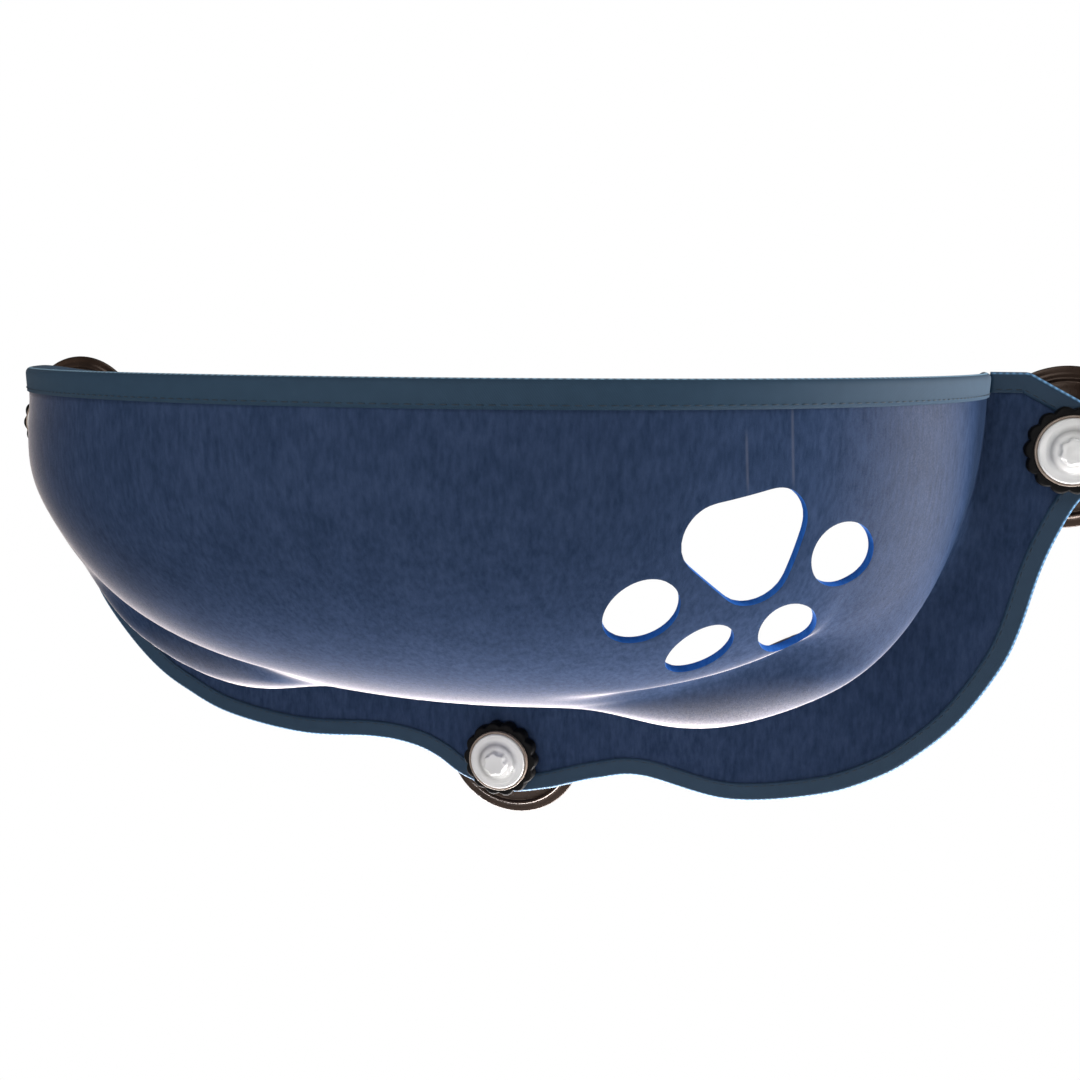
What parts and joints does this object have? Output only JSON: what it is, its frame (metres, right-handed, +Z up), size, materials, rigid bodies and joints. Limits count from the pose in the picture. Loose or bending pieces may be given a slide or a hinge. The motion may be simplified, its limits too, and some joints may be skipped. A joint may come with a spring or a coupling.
{
  "type": "window mounted cat perch",
  "caption": "Moulded felt pod with an open back and paw cut-outs, hung on a window by screw suction cups with clamping knobs.",
  "frame": {"origin": "where the lower cup's axis meets the window glass", "axes": "+Y points out through the glass, away from the room; +X runs to the right along the window as the room sees it; +Z up"},
  "size_m": [0.644, 0.2423, 0.26],
  "materials": {
    "felt": "matt heather felt",
    "binding": "woven tape",
    "steel": "zinc plated",
    "eyelet": "dull",
    "cup_rubber": "glossy dark rubber",
    "black_plastic": "gloss",
    "taupe_plastic": "gloss",
    "white_plastic": "high gloss"
  },
  "bodies": {
    "root": {"felt_shell": "felt", "flange_binding": "binding", "rim_binding": "binding", "rim_wire": "steel", "left_suction_cup": "cup_rubber", "left_stud": "steel", "left_back_washer": "steel", "left_eyelet": "eyelet", "right_suction_cup": "cup_rubber", "right_stud": "steel", "right_back_washer": "steel", "right_eyelet": "eyelet", "lower_suction_cup": "cup_rubber", "lower_stud": "steel", "lower_back_washer": "steel", "lower_eyelet": "eyelet"},
    "left_washer": {"left_front_washer": "steel"},
    "left_knob": {"left_hand_nut": "black_plastic", "left_trim_ring": "taupe_plastic", "left_cap": "white_plastic"},
    "right_washer": {"right_front_washer": "steel"},
    "right_knob": {"right_hand_nut": "black_plastic", "right_trim_ring": "taupe_plastic", "right_cap": "white_plastic"},
    "lower_washer": {"lower_front_washer": "steel"},
    "lower_knob": {"lower_hand_nut": "black_plastic", "lower_trim_ring": "taupe_plastic", "lower_cap": "white_plastic"}
  },
  "joints": [
    {"name": "left_knob_travel", "type": "slide", "parent": "root", "child": "left_washer", "axis": [0, -1, 0], "range_m": [0, 0.006]},
    {"name": "left_knob_turn", "type": "hinge", "parent": "left_washer", "child": "left_knob", "pos_m": [-0.282, 0, 0.18], "axis": [0, -1, 0], "range_deg": [0, 2160]},
    {"name": "right_knob_travel", "type": "slide", "parent": "root", "child": "right_washer", "axis": [0, -1, 0], "range_m": [0, 0.006]},
    {"name": "right_knob_turn", "type": "hinge", "parent": "right_washer", "child": "right_knob", "pos_m": [0.282, 0, 0.18], "axis": [0, -1, 0], "range_deg": [0, 2160]},
    {"name": "lower_knob_travel", "type": "slide", "parent": "root", "child": "lower_washer", "axis": [0, -1, 0], "range_m": [0, 0.006]},
    {"name": "lower_knob_turn", "type": "hinge", "parent": "lower_washer", "child": "lower_knob", "pos_m": [0, 0, 0], "axis": [0, -1, 0], "range_deg": [0, 2160]}
  ],
  "couplings": [
    {"joint": "left_knob_travel", "follows": "left_knob_turn", "m_per_rad": 0.00015915},
    {"joint": "right_knob_travel", "follows": "right_knob_turn", "m_per_rad": 0.00015915},
    {"joint": "lower_knob_travel", "follows": "lower_knob_turn", "m_per_rad": 0.00015915}
  ]
}
